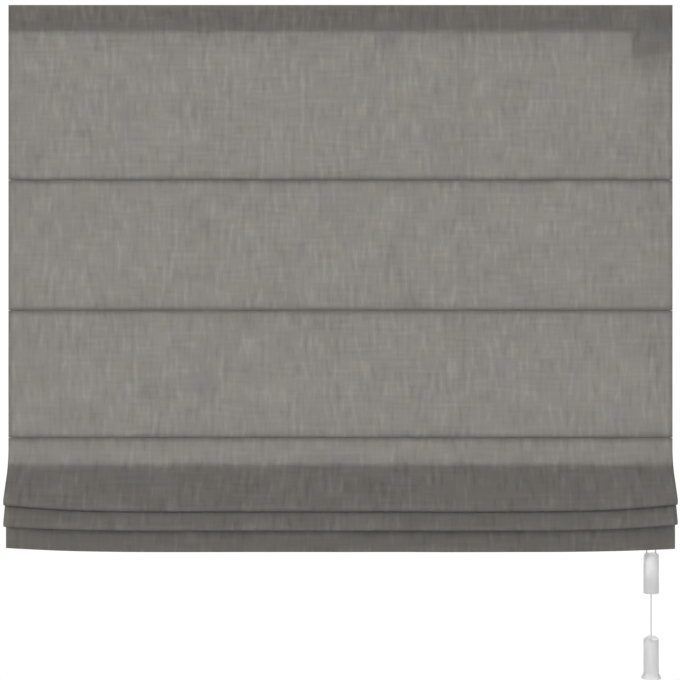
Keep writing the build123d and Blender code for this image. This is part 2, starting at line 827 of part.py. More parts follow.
def blind():
    """Every piece by name; a list holds like pieces that share a name."""
    pieces = {
        "headrail": headrail(),
        "end_cap_left": end_cap(-1),
        "end_cap_right": end_cap(1),
        "hook_strip": tape(hook_front),
        "loop_strip": tape(loop_front),
        "cloth": cloth(),
        "bottom_bar": bottom_bar(),
        "bar_tips": [bar_tip(-1), bar_tip(1)],
        "lock_body": lock_body(),
        "lock_cover": lock_cover(),
        "lock_screws": lock_screws(),
        "lock_pawl": lock_pawl(),
        "pawl_pin": pawl_pin(),
        "connector_sleeve": connector_sleeve(),
        "connector_plug": connector_plug(),
        "pull_cord": pull_cord(),
        "tassel": tassel(),
    }
    draw_knot_top = connector_z - connector_top
    for side in ("left", "right"):
        bracket_x = bracket_spread / 2 * (-1 if side == "left" else 1)
        x, wheel_x = lift_lines[side] + wrap_radius, draw_lines[side] - wrap_radius
        pieces["bracket_" + side] = bracket(bracket_x)
        pieces["turn_clip_" + side] = turn_clip(bracket_x)
        pieces["clip_rivet_" + side] = clip_rivet(bracket_x)
        pieces["cord_guide_" + side] = cord_guide(side)
        pieces["guide_pulley_" + side] = pulley(x, pulley_z)
        pieces["guide_pin_" + side] = pulley_pin(x, pulley_z)
        pieces["lock_wheel_" + side] = pulley(wheel_x, wheel_heights[side])
        pieces["wheel_pin_" + side] = pulley_pin(wheel_x, wheel_heights[side])
        pieces["lift_cord_" + side] = cord(lift_run(side), cord_radius)
        pieces["draw_cord_" + side] = draw_cord(side)
        lift_knot_top = seam_five - eye_height / 2
        pieces["lift_knot_" + side] = knot(lift_lines[side], lift_knot_top, knot_radius)
        pieces["draw_knot_" + side] = knot(draw_lines[side], draw_knot_top, draw_knot_radius)
    for name, top in (("pull_knot", plug_top + knot_height), ("tassel_knot", tassel_z - tassel_top)):
        pieces[name] = knot(draw_x, top, knot_radius)
    for i, z in enumerate(seams, 1):
        pieces[f"rod_{i}"] = rod(z)
        pieces[f"rod_tips_{i}"] = rod_tips(z)
        pieces[f"rod_clips_{i}"] = [rod_clip(x, z) for x in lift_lines.values()]
    return pieces


def main():
    os.makedirs("parts", exist_ok=True)
    pieces = blind()
    for name, piece in pieces.items():
        shape = Compound(children=piece) if isinstance(piece, list) else piece
        export_step(shape, f"parts/{name}.step")
    print(f"{len(pieces)} pieces; lift cords turn at {wrap_radius:.2f} mm, the other cords hang straight")


if __name__ == "__main__":
    main()
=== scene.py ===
import bpy
import bmesh
import math
from mathutils import Matrix, Vector, noise


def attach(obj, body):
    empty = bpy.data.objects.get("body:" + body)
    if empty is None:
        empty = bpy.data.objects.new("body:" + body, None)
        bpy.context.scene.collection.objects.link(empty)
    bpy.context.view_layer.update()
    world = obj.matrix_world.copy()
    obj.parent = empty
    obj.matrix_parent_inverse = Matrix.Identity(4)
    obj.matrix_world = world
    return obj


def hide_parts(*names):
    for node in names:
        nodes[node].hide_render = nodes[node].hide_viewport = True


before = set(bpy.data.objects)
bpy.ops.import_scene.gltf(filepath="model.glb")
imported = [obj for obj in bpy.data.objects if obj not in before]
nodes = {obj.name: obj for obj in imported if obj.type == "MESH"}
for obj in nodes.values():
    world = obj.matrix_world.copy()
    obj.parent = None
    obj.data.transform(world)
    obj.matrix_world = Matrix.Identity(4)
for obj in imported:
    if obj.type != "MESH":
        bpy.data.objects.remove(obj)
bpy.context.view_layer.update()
scene = bpy.context.scene
mm = 0.001  # the frame is in metres, the pieces' sizes below in millimetres
print("frame loaded,", len(nodes), "nodes")

# places that several pieces share
clothFront = -36.05  # the plane of the flat panels
sideWeld = 394.0  # the welded line near each side edge, from the cloth's middle
cordY = -20.0  # the plane of all cords


# camera, as far off as the photograph's slight perspective says
viewSpec = {
    "plane": clothFront, "distance": 1850.0, "across": -0.6, "height": -388.7,
    "widthSeen": 819.3, "sensor": 36.0, "farthest": 50000.0,
}


def setCamera(spec):
    lens = bpy.data.cameras.new("camera")
    lens.sensor_width = spec["sensor"]
    lens.lens = spec["sensor"] * spec["distance"] / spec["widthSeen"]
    lens.clip_end = spec["farthest"] * mm
    eye = bpy.data.objects.new("camera", lens)
    eye.location = Vector((spec["across"], spec["plane"] - spec["distance"], spec["height"])) * mm
    eye.rotation_euler = (math.pi / 2, 0, 0)
    scene.collection.objects.link(eye)
    scene.camera = eye


setCamera(viewSpec)
print("camera set")


# node helpers

def newMaterial(name):
    material = bpy.data.materials.new(name)
    material.use_nodes = True
    tree = material.node_tree
    tree.nodes.clear()
    return material, tree


def addNode(tree, kind, settings=None, sockets=None):
    node = tree.nodes.new(kind)
    for key, value in (settings or {}).items():
        setattr(node, key, value)
    for key, value in (sockets or {}).items():
        node.inputs[key].default_value = value
    return node


def scaledCoords(tree, source, scale, turn=(0, 0, 0)):
    mapping = addNode(tree, "ShaderNodeMapping", None, {"Scale": scale, "Rotation": turn})
    if source == "Object":
        coords = addNode(tree, "ShaderNodeTexCoord").outputs["Object"]
    else:
        coords = addNode(tree, "ShaderNodeUVMap", {"uv_map": source}).outputs["UV"]
    tree.links.new(coords, mapping.inputs["Vector"])
    return mapping.outputs["Vector"]


def noiseOf(tree, vector, detail, roughness=0.5):
    node = addNode(tree, "ShaderNodeTexNoise", None, {"Scale": 1.0, "Detail": detail, "Roughness": roughness})
    tree.links.new(vector, node.inputs["Vector"])
    return node.outputs["Fac"]


def ramp(tree, factor, stops):
    node = addNode(tree, "ShaderNodeValToRGB")
    elements = node.color_ramp.elements
    for i, (place, colour) in enumerate(stops):
        element = elements[i] if i < len(elements) else elements.new(place)
        element.position = place
        element.color = (*colour, 1)
    tree.links.new(factor, node.inputs["Fac"])
    return node.outputs["Color"]


def greys(stops):  # ramp stops of plain grey levels
    return [(place, (level, level, level)) for place, level in stops]


def combine(tree, operation, first, second):
    node = addNode(tree, "ShaderNodeMath", {"operation": operation})
    for socket, value in zip(node.inputs, (first, second)):
        if isinstance(value, (int, float)):
            socket.default_value = value
        else:
            tree.links.new(value, socket)
    return node.outputs[0]


def blendSum(tree, parts):  # weighted sum of patterns
    total = None
    for pattern, weight in parts:
        share = combine(tree, "MULTIPLY", pattern, weight)
        total = share if total is None else combine(tree, "ADD", total, share)
    return total


def tint(tree, first, second):
    node = addNode(tree, "ShaderNodeMix", {"data_type": "RGBA", "blend_type": "MULTIPLY"}, {"Factor": 1.0})
    tree.links.new(first, node.inputs["A"])
    tree.links.new(second, node.inputs["B"])
    return node.outputs["Result"]


def bumpOf(tree, height, strength, depth):
    node = addNode(tree, "ShaderNodeBump", None, {"Strength": strength, "Distance": depth * mm})
    tree.links.new(height, node.inputs["Height"])
    return node.outputs["Normal"]


def surfaceOf(tree, sockets, colour, roughness=None, normal=None):
    node = addNode(tree, "ShaderNodeBsdfPrincipled", None, sockets)
    for name, link in (("Base Color", colour), ("Roughness", roughness), ("Normal", normal)):
        if link is not None:
            tree.links.new(link, node.inputs[name])
    return node.outputs["BSDF"]


# lets part of the light pass, as cloth and milky plastic do
def lightThrough(tree, surface, colour, normal, share):
    through = addNode(tree, "ShaderNodeBsdfTranslucent")
    tree.links.new(colour, through.inputs["Color"])
    if normal is not None:
        tree.links.new(normal, through.inputs["Normal"])
    both = addNode(tree, "ShaderNodeMixShader", None, {"Fac": share})
    tree.links.new(surface, both.inputs[1])
    tree.links.new(through.outputs["BSDF"], both.inputs[2])
    return both.outputs["Shader"]


def outputOf(tree, shader):
    node = addNode(tree, "ShaderNodeOutputMaterial")
    tree.links.new(shader, node.inputs["Surface"])


# a finish of two close colours that vary by one noise, with its roughness and bump from the same noise
# its grain is how often the noise changes in a metre along X, Y and Z
grainSpec = {
    "detail": 3.0, "roughness": 0.6, "colourSpan": (0.3, 0.7), "roughSpan": (0.25, 0.75), "bumpDepth": 0.1,
}
finishSpecs = {
    "anodisedRail": {
        "grain": (6, 900, 900), "dark": (0.54, 0.54, 0.53), "light": (0.6, 0.6, 0.59), "rough": (0.5, 0.62),
        "bump": 0.12, "bumpDepth": 0.04, "sockets": {"Metallic": 0.45},
    },
    "zincSteel": {
        "grain": (160, 160, 160), "dark": (0.4, 0.41, 0.42), "light": (0.55, 0.56, 0.56),
        "rough": (0.44, 0.58), "bump": 0.1, "sockets": {"Metallic": 0.75},
    },
    "whiteMoulding": {
        "grain": (420, 420, 420), "dark": (0.76, 0.76, 0.74), "light": (0.83, 0.83, 0.81),
        "rough": (0.38, 0.52), "bump": 0.15, "sockets": {"Specular IOR Level": 0.45},
    },
    "nylonWheel": {
        "grain": (700, 250, 700), "dark": (0.76, 0.76, 0.72), "light": (0.85, 0.85, 0.82),
        "rough": (0.25, 0.36), "bump": 0.1, "sockets": {"Specular IOR Level": 0.5},
    },
    "glassFibre": {
        "grain": (12, 1800, 1800), "dark": (0.7, 0.69, 0.62), "light": (0.83, 0.82, 0.76),
        "rough": (0.25, 0.4), "bump": 0.2, "bumpDepth": 0.05, "sockets": {"Coat Weight": 0.3},
    },
    "hookTape": {
        "grain": (1500, 1500, 1500), "dark": (0.6, 0.6, 0.58), "light": (0.82, 0.82, 0.8),
        "rough": (0.8, 0.95), "bump": 0.8, "bumpDepth": 0.4, "sockets": {"Sheen Weight": 0.3},
    },
    "seamThread": {
        "grain": (2400, 2400, 2400), "dark": (0.13, 0.125, 0.112), "light": (0.2, 0.19, 0.172),
        "rough": (0.7, 0.85), "bump": 0.5, "sockets": {"Sheen Weight": 0.15},
    },
}


def grainOf(tree, grain, spec):  # a noise, with the colour and the roughness that follow it
    pattern = noiseOf(tree, scaledCoords(tree, "Object", grain), grainSpec["detail"], grainSpec["roughness"])
    colour = ramp(tree, pattern, zip(grainSpec["colourSpan"], (spec["dark"], spec["light"])))
    rough = ramp(tree, pattern, greys(zip(grainSpec["roughSpan"], spec["rough"])))
    return pattern, colour, rough


def makeFinish(name, spec):
    material, tree = newMaterial(name)
    pattern, colour, rough = grainOf(tree, spec["grain"], spec)
    normal = bumpOf(tree, pattern, spec["bump"], spec.get("bumpDepth", grainSpec["bumpDepth"]))
    outputOf(tree, surfaceOf(tree, spec["sockets"], colour, rough, normal))
    return material


# fine diagonal plaits of the cords, seen close
braidSpec = {
    "turn": 0.6, "pitch": 320, "waver": 0.6,
    "dark": (0.62, 0.61, 0.58), "light": (0.84, 0.83, 0.8), "colourSpan": (0.0, 0.6),
    "bump": 0.6, "bumpDepth": 0.2, "sockets": {"Roughness": 0.8, "Sheen Weight": 0.2},
}


def makeBraid(name, spec):
    material, tree = newMaterial(name)
    plaits = []
    for turn in (spec["turn"], -spec["turn"]):
        sockets = {"Scale": 1.0, "Distortion": spec["waver"]}
        wave = addNode(tree, "ShaderNodeTexWave", {"bands_direction": "Z"}, sockets)
        coords = scaledCoords(tree, "Object", (spec["pitch"],) * 3, (turn, turn, 0))
        tree.links.new(coords, wave.inputs["Vector"])
        plaits.append(wave.outputs["Fac"])
    pattern = combine(tree, "MULTIPLY", *plaits)
    colour = ramp(tree, pattern, zip(spec["colourSpan"], (spec["dark"], spec["light"])))
    normal = bumpOf(tree, pattern, spec["bump"], spec["bumpDepth"])
    outputOf(tree, surfaceOf(tree, spec["sockets"], colour, None, normal))
    return material


# frosted clear mouldings: how clear and how milky each is, and how far it bends the light
clearGrain = (90, 90, 60)
clearSpecs = {
    "clearPull": {
        "dark": (0.955, 0.955, 0.955), "light": (0.985, 0.985, 0.985), "rough": (0.34, 0.46),
        "clear": 0.78, "milky": 0.2, "bend": 1.3,
    },
    "clearSleeve": {
        "dark": (0.955, 0.955, 0.955), "light": (0.985, 0.985, 0.985), "rough": (0.4, 0.5),
        "clear": 0.7, "milky": 0.3, "bend": 1.35,
    },
    "clearPlug": {
        "dark": (0.96, 0.96, 0.96), "light": (0.99, 0.99, 0.99), "rough": (0.3, 0.4),
        "clear": 0.98, "milky": 0.0, "bend": 1.12,
    },
    "clearLock": {
        "dark": (0.92, 0.92, 0.91), "light": (0.97, 0.97, 0.96), "rough": (0.4, 0.52),
        "clear": 0.94, "milky": 0.02, "bend": 1.18,
    },
    "clipPlastic": {
        "dark": (0.78, 0.79, 0.79), "light": (0.86, 0.87, 0.87), "rough": (0.25, 0.4),
        "clear": 0.4, "milky": 0.2, "bend": 1.49,
    },
}


def makeClear(name, spec):
    material, tree = newMaterial(name)
    colour, rough = grainOf(tree, clearGrain, spec)[1:]
    shader = surfaceOf(tree, {"Transmission Weight": spec["clear"], "IOR": spec["bend"]}, colour, rough)
    if spec["milky"]:
        shader = lightThrough(tree, shader, colour, None, spec["milky"])
    outputOf(tree, shader)
    return material


# the cloth's slubbed weave: upright and level threads of uneven thickness that let light through from behind
weaveSpec = {
    "reflected": (0.2615, 0.2485, 0.2295), "reflectedShades": ((0.2, 0.75), (0.8, 1.25)),
    "passed": (0.612, 0.598, 0.580), "passedShades": ((0.2, 0.915), (0.8, 1.085)), "passedShare": 0.5,
    "threads": {  # how often each changes in a metre across and along the cloth, and its weight
        "uprightSlubs": ((185, 36, 1), 0.38),
        "levelSlubs": ((26, 220, 1), 0.18),
        "uprightThreads": ((1400, 80, 1), 0.1),
        "levelThreads": ((80, 1400, 1), 0.08),
        "clouds": ((20, 18, 1), 0.26),
    },
    "detail": 1.0, "slubTails": ((0.3, 0.05), (0.43, 0.45), (0.57, 0.54), (0.695, 1.03)),
    "yarn": (34, 24, 1), "yarnDetail": 2.0, "yarnRoughness": 0.6,
    "yarnTints": ((0.35, (1.01, 1.0, 0.985)), (0.65, (0.996, 1.0, 1.008))),  # slightly warm and slightly cool
    # the welded line is painted lighter and the strip outside it darker: painted light and shade
    "weldReach": 5.0, "weldPaintedLightAndShade": ((0.38, 1.0), (0.46, 1.025), (0.54, 1.025), (0.62, 0.98)),
    "bump": 0.35, "bumpDepth": 0.4,
    "sockets": {"Roughness": 0.88, "Specular IOR Level": 0.15, "Sheen Weight": 0.05},
}


def paintedWeldLineOf(tree, spec):  # painted light on the welded line along each side edge, and painted shade between it and the edge
    split = addNode(tree, "ShaderNodeSeparateXYZ")
    tree.links.new(scaledCoords(tree, "clothMap", (1, 1, 1)), split.inputs["Vector"])
    fromMiddle = combine(tree, "ABSOLUTE", split.outputs["X"], 0)
    run = combine(tree, "SUBTRACT", fromMiddle, (sideWeld - spec["weldReach"]) * mm)
    run = combine(tree, "DIVIDE", run, 2 * spec["weldReach"] * mm)
    return ramp(tree, run, greys(spec["weldPaintedLightAndShade"]))


def makeWeave(name, spec):
    material, tree = newMaterial(name)
    parts = []
    for kind, (scale, weight) in spec["threads"].items():
        pattern = noiseOf(tree, scaledCoords(tree, "clothMap", scale), spec["detail"])
        if kind.endswith("Slubs"):  # few of them, well apart
            pattern = ramp(tree, pattern, greys(spec["slubTails"]))
        parts.append((pattern, weight))
    threads = blendSum(tree, parts)
    yarnCoords = scaledCoords(tree, "clothMap", spec["yarn"])
    yarn = noiseOf(tree, yarnCoords, spec["yarnDetail"], spec["yarnRoughness"])
    # yarn tints, multiplied by the painted light and shade along the welded line
    tintsAndPaintedWeld = tint(tree, ramp(tree, yarn, spec["yarnTints"]), paintedWeldLineOf(tree, spec))
    colours = []
    for key in ("reflected", "passed"):
        stops = [(place, [c * level for c in spec[key]]) for place, level in spec[key + "Shades"]]
        colours.append(tint(tree, ramp(tree, threads, stops), tintsAndPaintedWeld))
    normal = bumpOf(tree, threads, spec["bump"], spec["bumpDepth"])
    front = surfaceOf(tree, spec["sockets"], colours[0], None, normal)
    outputOf(tree, lightThrough(tree, front, colours[1], normal, spec["passedShare"]))
    return material


finishes = {name: makeFinish(name, spec) for name, spec in finishSpecs.items()}
finishes["cordBraid"] = makeBraid("cordBraid", braidSpec)
for name, spec in clearSpecs.items():
    finishes[name] = makeClear(name, spec)
finishes["slubWeave"] = makeWeave("slubWeave", weaveSpec)
print("finishes made:", ", ".join(finishes))


# each node's finish, by how its name starts
nodeFinishes = {
    "anodisedRail": ["headrail", "bottom_bar"],
    "whiteMoulding": ["end_cap", "cord_guide", "bar_tips", "rod_tips"],
    "clearLock": ["lock_body", "lock_cover"],
    "nylonWheel": ["guide_pulley", "lock_wheel", "lock_pawl"],
    "clipPlastic": ["rod_clips"],
    "zincSteel": ["bracket", "turn_clip", "clip_rivet", "guide_pin", "wheel_pin", "pawl_pin", "lock_screws"],
    "glassFibre": ["rod_1", "rod_2", "rod_3", "rod_4", "rod_5"],
    "hookTape": ["hook_strip", "loop_strip"],
    "cordBraid": ["lift_cord", "draw_cord", "pull_cord", "lift_knot", "draw_knot", "pull_knot",
                  "tassel_knot"],
    "clearPull": ["tassel"],
    "clearSleeve": ["connector_sleeve"],
    "clearPlug": ["connector_plug"],
    "slubWeave": ["cloth"],
}
for finish, starts in nodeFinishes.items():
    for nodeName, node in nodes.items():
        if nodeName.startswith(tuple(starts)):
            node.data.materials.clear()
            node.data.materials.append(finishes[finish])
print("nodes finished")


def addPiece(name, data, finish):
    piece = bpy.data.objects.new(name, data)
    scene.collection.objects.link(piece)
    data.materials.append(finishes[finish])
    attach(piece, "blind")
    return piece


tubeSpec = {"roundSteps": 4, "lengthSteps": 8}


def tubeCurve(name, radius):
    line = bpy.data.curves.new(name, "CURVE")
    line.dimensions = "3D"
    line.bevel_depth = radius * mm
    line.bevel_resolution = tubeSpec["roundSteps"]
    line.resolution_u = tubeSpec["lengthSteps"]
    line.use_fill_caps = True
    return line


def addSpline(line, points, closed=False):
    spline = line.splines.new("NURBS")
    spline.points.add(len(points) - 1)
    for point, place in zip(spline.points, points):
        point.co = (*(Vector(place) * mm), 1)
    spline.order_u = 3
    spline.use_endpoint_u = not closed
    spline.use_cyclic_u = closed


# cords, each with its real length in metres and its route as (across, height)
# the draw cords hang from the lock, the lift cords run from it along the rail and down through the rod clips
cordSpec = {
    "drawCordLeft": {
        "node": "draw_cord_left", "radius": 0.7, "length": 0.5869, "lay": "hanging",
        "route": [(382.9, -63.5), (382.9, -72.0), (382.9, -642.0), (382.9, -650.4)],
    },
    "drawCordRight": {
        "node": "draw_cord_right", "radius": 0.7, "length": 0.5869, "lay": "hanging",
        "route": [(372.1, -63.5), (372.1, -72.0), (372.1, -642.0), (372.1, -650.4)],
    },
    "pullCord": {
        "node": "pull_cord", "radius": 0.8, "length": 0.075, "lay": "hanging", "exit": (377.5, -696.4),
        "route": [(377.5, -677.4), (377.5, -684.0), (377.5, -746.0), (377.5, -752.4)],
    },
    "liftCordLeft": {
        "node": "lift_cord_left", "radius": 0.7, "length": 1.1583, "lay": "taut",
        "route": [(382.9, -63.5), (382.9, -9.4), (382.9, -0.58), (374.1, -0.62), (-154.2, -3.57),
                  (-163.0, -3.62), (-163.0, -12.4), (-163.0, -548.5), (-163.0, -556.9)],
    },
    "liftCordRight": {
        "node": "lift_cord_right", "radius": 0.7, "length": 0.8335, "lay": "taut",
        "route": [(372.1, -63.5), (372.1, -12.4), (372.1, -3.6), (363.3, -3.6), (156.8, -3.6),
                  (148.0, -3.6), (148.0, -12.4), (148.0, -548.5), (148.0, -556.9)],
    },
}


def makeCord(name, spec):
    line = tubeCurve(name, spec["radius"])
    addSpline(line, [(x, cordY, z) for x, z in spec["route"]])
    piece = addPiece(name, line, "cordBraid")
    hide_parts(spec["node"])
    return piece


cords = {name: makeCord(name, spec) for name, spec in cordSpec.items()}

# an overhand knot with a short tail sits past each cord's lower end, and one past the pull cord's upper end
knotShape = {
    "height": 3.2, "points": 24, "lobes": 3, "turns": 2, "tailBend": (0.2, 0.1, 1.4), "tailSide": (0.7, 0.3),
}
knotSizes = {
    "draw": {"tube": 0.55, "ring": 0.62, "swing": 0.33},
    "pull": {"tube": 0.72, "ring": 0.98, "swing": 0.5},
    "lift": {"tube": 0.7, "ring": 1.0, "swing": 0.5},
}
knotSpec = {
    "drawKnotLeft": {"node": "draw_knot_left", "cord": "drawCordLeft", "size": "draw", "tail": 3.4},
    "drawKnotRight": {"node": "draw_knot_right", "cord": "drawCordRight", "size": "draw", "tail": 3.4},
    "pullKnot": {"node": "pull_knot", "cord": "pullCord", "size": "pull", "tail": 1.5, "atTop": True},
    "tasselKnot": {"node": "tassel_knot", "cord": "pullCord", "size": "pull", "tail": 3.4},
    "liftKnotLeft": {"node": "lift_knot_left", "cord": "liftCordLeft", "size": "lift", "tail": 3.4},
    "liftKnotRight": {"node": "lift_knot_right", "cord": "liftCordRight", "size": "lift", "tail": 3.4},
}


def makeKnot(name, spec):
    shape, size = knotShape, knotSizes[spec["size"]]
    route = cordSpec[spec["cord"]]["route"]
    endX, endZ = route[0] if spec.get("atTop") else route[-1]
    way = 1 if spec.get("atTop") else -1
    middle = Vector((endX, cordY, endZ + way * shape["height"] / 2))
    rise = shape["height"] / 2 - size["tube"]
    loop = []
    for i in range(shape["points"]):
        t = 2 * math.pi * i / shape["points"]
        lobe, turn = shape["lobes"] * t, shape["turns"] * t
        reach = size["ring"] + size["swing"] * math.cos(lobe)
        loop.append(middle + Vector((reach * math.cos(turn), reach * math.sin(turn), rise * math.sin(lobe))))
    line = tubeCurve(name, size["tube"])
    addSpline(line, loop, closed=True)
    tail = ((0, 0, 0), shape["tailBend"], (*shape["tailSide"], spec["tail"]))
    addSpline(line, [middle + Vector((x, y, way * z)) for x, y, z in tail])
    piece = addPiece(name, line, "cordBraid")
    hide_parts(spec["node"])
    return piece


knots = {name: makeKnot(name, spec) for name, spec in knotSpec.items()}
print("cords and knots tied")


# rounded section wires, for the cloth and for turned pieces

def wireChain(corners, closed=False):  # (across, height, rounding, steps) in the YZ plane
    bm = bmesh.new()
    verts = [bm.verts.new((0, y * mm, z * mm)) for y, z, *rest in corners]
    count = len(verts)
    points = [v.co.copy() for v in verts]
    for i in range(count if closed else count - 1):
        bm.edges.new((verts[i], verts[(i + 1) % count]))
    for i in range(0 if closed else 1, count if closed else count - 1):
        rounding, steps = corners[i][2:]
        if rounding:
            before, here, after = points[i - 1], points[i], points[(i + 1) % count]
            turn = (here - before).angle(after - here)
            bmesh.ops.bevel(bm, geom=[verts[i]], offset=rounding * mm * math.tan(turn / 2),
                            offset_type="OFFSET", affect="VERTICES", segments=steps, profile=0.5, material=-1)
    return bm


def finishMesh(name, bm, smooth=True):
    mesh = bpy.data.meshes.new(name)
    bm.to_mesh(mesh)
    bm.free()
    for face in mesh.polygons:
        face.use_smooth = smooth
    return mesh


# the clear pull: sleeve, plug and bell turned about the pull cord
pullSpec = {
    "x": 377.5, "segments": 64, "mergeWithin": 0.001,
    "sleeve": {
        "node": "connector_sleeve", "finish": "clearSleeve", "closed": False,
        "holes": (382.9, 372.1), "holeRadius": 1.0, "holeSides": 24, "drillLength": 20.0,
        "profile": [(0, -647.4, 0, 0), (7.0, -647.4, 0.8, 4), (9.4, -649.8, 1.2, 5), (9.4, -696.4, 0.8, 5),
                    (7.4, -696.4, 0.5, 4), (7.4, -650.4, 0.8, 5), (0, -650.4, 0, 0)],
    },
    "plug": {
        "node": "connector_plug", "finish": "clearPlug", "closed": True,
        "profile": [(1.1, -696.4, 0.3, 3), (7.25, -696.4, 0.4, 4), (7.25, -692.4, 1.0, 5),
                    (2.8, -677.4, 0.5, 4), (1.1, -677.4, 0.3, 3)],
    },
    "bell": {
        "node": "tassel", "finish": "clearPull", "closed": True,
        "profile": [(1.1, -748.4, 0.3, 3), (5.8, -748.4, 0.7, 5), (9.2, -751.8, 1.0, 5),
                    (9.2, -793.4, 3.0, 6), (12.0, -798.4, 0.4, 4), (12.0, -799.4, 0.4, 4),
                    (10.0, -799.4, 0.4, 4), (7.2, -795.4, 2.0, 5), (7.2, -752.4, 0.8, 5),
                    (1.1, -752.4, 0.3, 3)],
    },
}


def drillHoles(mesh, spec):  # the draw cords' two holes in the sleeve's top
    blank = bpy.data.objects.new("blank", mesh)
    bm = bmesh.new()
    top = spec["profile"][0][1]
    radius = spec["holeRadius"] * mm
    for x in spec["holes"]:
        bmesh.ops.create_cone(bm, cap_ends=True, segments=spec["holeSides"], radius1=radius, radius2=radius,
                              depth=spec["drillLength"] * mm,
                              matrix=Matrix.Translation(Vector((x, cordY, top)) * mm))
    drill = bpy.data.objects.new("drill", finishMesh("drill", bm))
    for part in (blank, drill):
        scene.collection.objects.link(part)
    cut = blank.modifiers.new("cut", "BOOLEAN")
    cut.object = drill
    drilled = bpy.data.meshes.new_from_object(blank.evaluated_get(bpy.context.evaluated_depsgraph_get()))
    for part in (blank, drill):
        bpy.data.objects.remove(part)
    return drilled


def turnPiece(name, spec):
    bm = wireChain(spec["profile"], spec["closed"])
    bmesh.ops.spin(bm, geom=bm.verts[:] + bm.edges[:], cent=(0, 0, 0), axis=(0, 0, 1), angle=2 * math.pi,
                   steps=pullSpec["segments"], use_merge=True)
    bmesh.ops.remove_doubles(bm, verts=bm.verts, dist=pullSpec["mergeWithin"] * mm)
    bmesh.ops.recalc_face_normals(bm, faces=bm.faces)
    bmesh.ops.translate(bm, verts=bm.verts, vec=(pullSpec["x"] * mm, cordY * mm, 0))
    mesh = finishMesh(name, bm)
    if "holes" in spec:
        mesh = drillHoles(mesh, spec)
    piece = addPiece(name, mesh, spec["finish"])
    piece.modifiers.new("evenShading", "WEIGHTED_NORMAL").keep_sharp = True
    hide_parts(spec["node"])
    return piece


pulls = {name: turnPiece("pull" + name.capitalize(), pullSpec[name]) for name in ("sleeve", "plug", "bell")}

print("clear pull turned")


# the cloth's section runs from the turned-in top edge down to the hem
# a corner is (across, height, rounding, steps, lift), where lift is its rise at the left and right side
level = (0.0, 0.0)
foldOneLift = (7.6, 8.4)
foldTwoLift = (4.8, 7.2)
hemLift = (4.8, 3.8)
clothSpec = {
    "width": 800.0, "thickness": 0.7, "columns": 100, "longest": 11.0, "bowStart": 240.0,
    "top": 14.75, "turnedIn": (-35.15, -11.9),
    "crease": {"half": 0.37, "rounding": 0.42, "steps": 4, "stay": 1.5},
    "pocket": {"back": -25.9, "rise": 4.76, "drop": 4.76, "rounding": 3.06, "steps": 8},
    "seams": (-195.9, -352.9, -506.4),
    "gathered": (-541.9, -553.9), "gatheredReach": 3.0, "gatheredRise": 4.16,
    "foldOne": [(clothFront, -536.4, 55.0, 8, level), (-70.05, -592.5, 5.8, 10, foldOneLift),
                (-61.05, -592.5, 2.4, 6, foldOneLift)],
    "foldTwo": [(-67.06, -615.1, 3.7, 10, foldTwoLift), (-61.06, -615.1, 1.6, 6, foldTwoLift)],
    "hem": [(-50.04, -591.9, 30.0, 8, level), (-50.04, -642.3, 2.38, 6, hemLift),
            (-44.74, -642.3, 2.38, 6, hemLift), (-44.74, -616.55, 4.0, 4, hemLift),
            (-49.14, -611.05, 4.0, 4, hemLift), (-49.14, -607.55, 0, 0, hemLift)],
    "notch": {"places": (-163.0, 148.0), "half": 4.5, "front": -33.0, "reach": 6.0},
    "ripple": {"height": 0.7, "size": 0.007, "start": 30.0, "seed": 1.3},
    "lipWave": {"share": 0.07, "size": 0.012, "seed": 3.7},
    "weld": {"half": 0.6, "height": 0.25},
    "slack": 0.05,  # how near counts as on the panels' plane or on the welded line
}


def seamCorners(z, reach, rise):  # a rod pocket behind the sheet, between two creases
    crease, pocket = clothSpec["crease"], clothSpec["pocket"]
    creased = (crease["rounding"], crease["steps"], level)
    rounded = (pocket["rounding"], pocket["steps"], level)
    return [(clothFront - reach, z + crease["half"], *creased), (pocket["back"], z + rise, *rounded),
            (pocket["back"], z - pocket["drop"], *rounded), (clothFront, z - crease["half"], *creased)]


def clothCorners():
    top, crease = clothSpec["top"], clothSpec["crease"]
    creased = (crease["rounding"], crease["steps"], level)
    inside, insideEnd = clothSpec["turnedIn"]
    corners = [(inside, insideEnd, 0, 0, level), (inside, top, *creased), (clothFront, top, *creased)]
    for z in clothSpec["seams"]:  # a point on each side of the creases keeps the panels flat
        corners.append((clothFront, z + crease["stay"], 0, 0, level))
        corners += seamCorners(z, 0, clothSpec["pocket"]["rise"])
        corners.append((clothFront, z - crease["stay"], 0, 0, level))
    for fold, z in zip(("foldOne", "foldTwo"), clothSpec["gathered"]):
        corners += clothSpec[fold] + seamCorners(z, clothSpec["gatheredReach"], clothSpec["gatheredRise"])
    return corners + clothSpec["hem"]


def walkChain(bm, start):  # the section's points in order, from the end near start
    ends = [v for v in bm.verts if len(v.link_edges) == 1]
    vert = min(ends, key=lambda v: (v.co - start).length)
    chain, edge = [vert], None
    while True:
        following = [e for e in vert.link_edges if e is not edge]
        if not following:
            return chain
        edge = following[0]
        vert = edge.other_vert(vert)
        chain.append(vert)


def clothChain(side, cuts):  # side is None for the middle, 0 for the left and 1 for the right
    corners = [(y, z + (0 if side is None else lifts[side]), *rest) for y, z, *rest, lifts in clothCorners()]
    bm = wireChain(corners)
    start = Vector((0, corners[0][0], corners[0][1])) * mm
    chain = walkChain(bm, start)
    links = [next(e for e in a.link_edges if e.other_vert(a) is b) for a, b in zip(chain, chain[1:])]
    if cuts is None:
        cuts = [int(e.calc_length() / (clothSpec["longest"] * mm)) for e in links]
    for edge, count in zip(links, cuts):
        if count:
            bmesh.ops.subdivide_edges(bm, edges=[edge], cuts=count)
    return bm, [v.co.copy() for v in walkChain(bm, start)], cuts


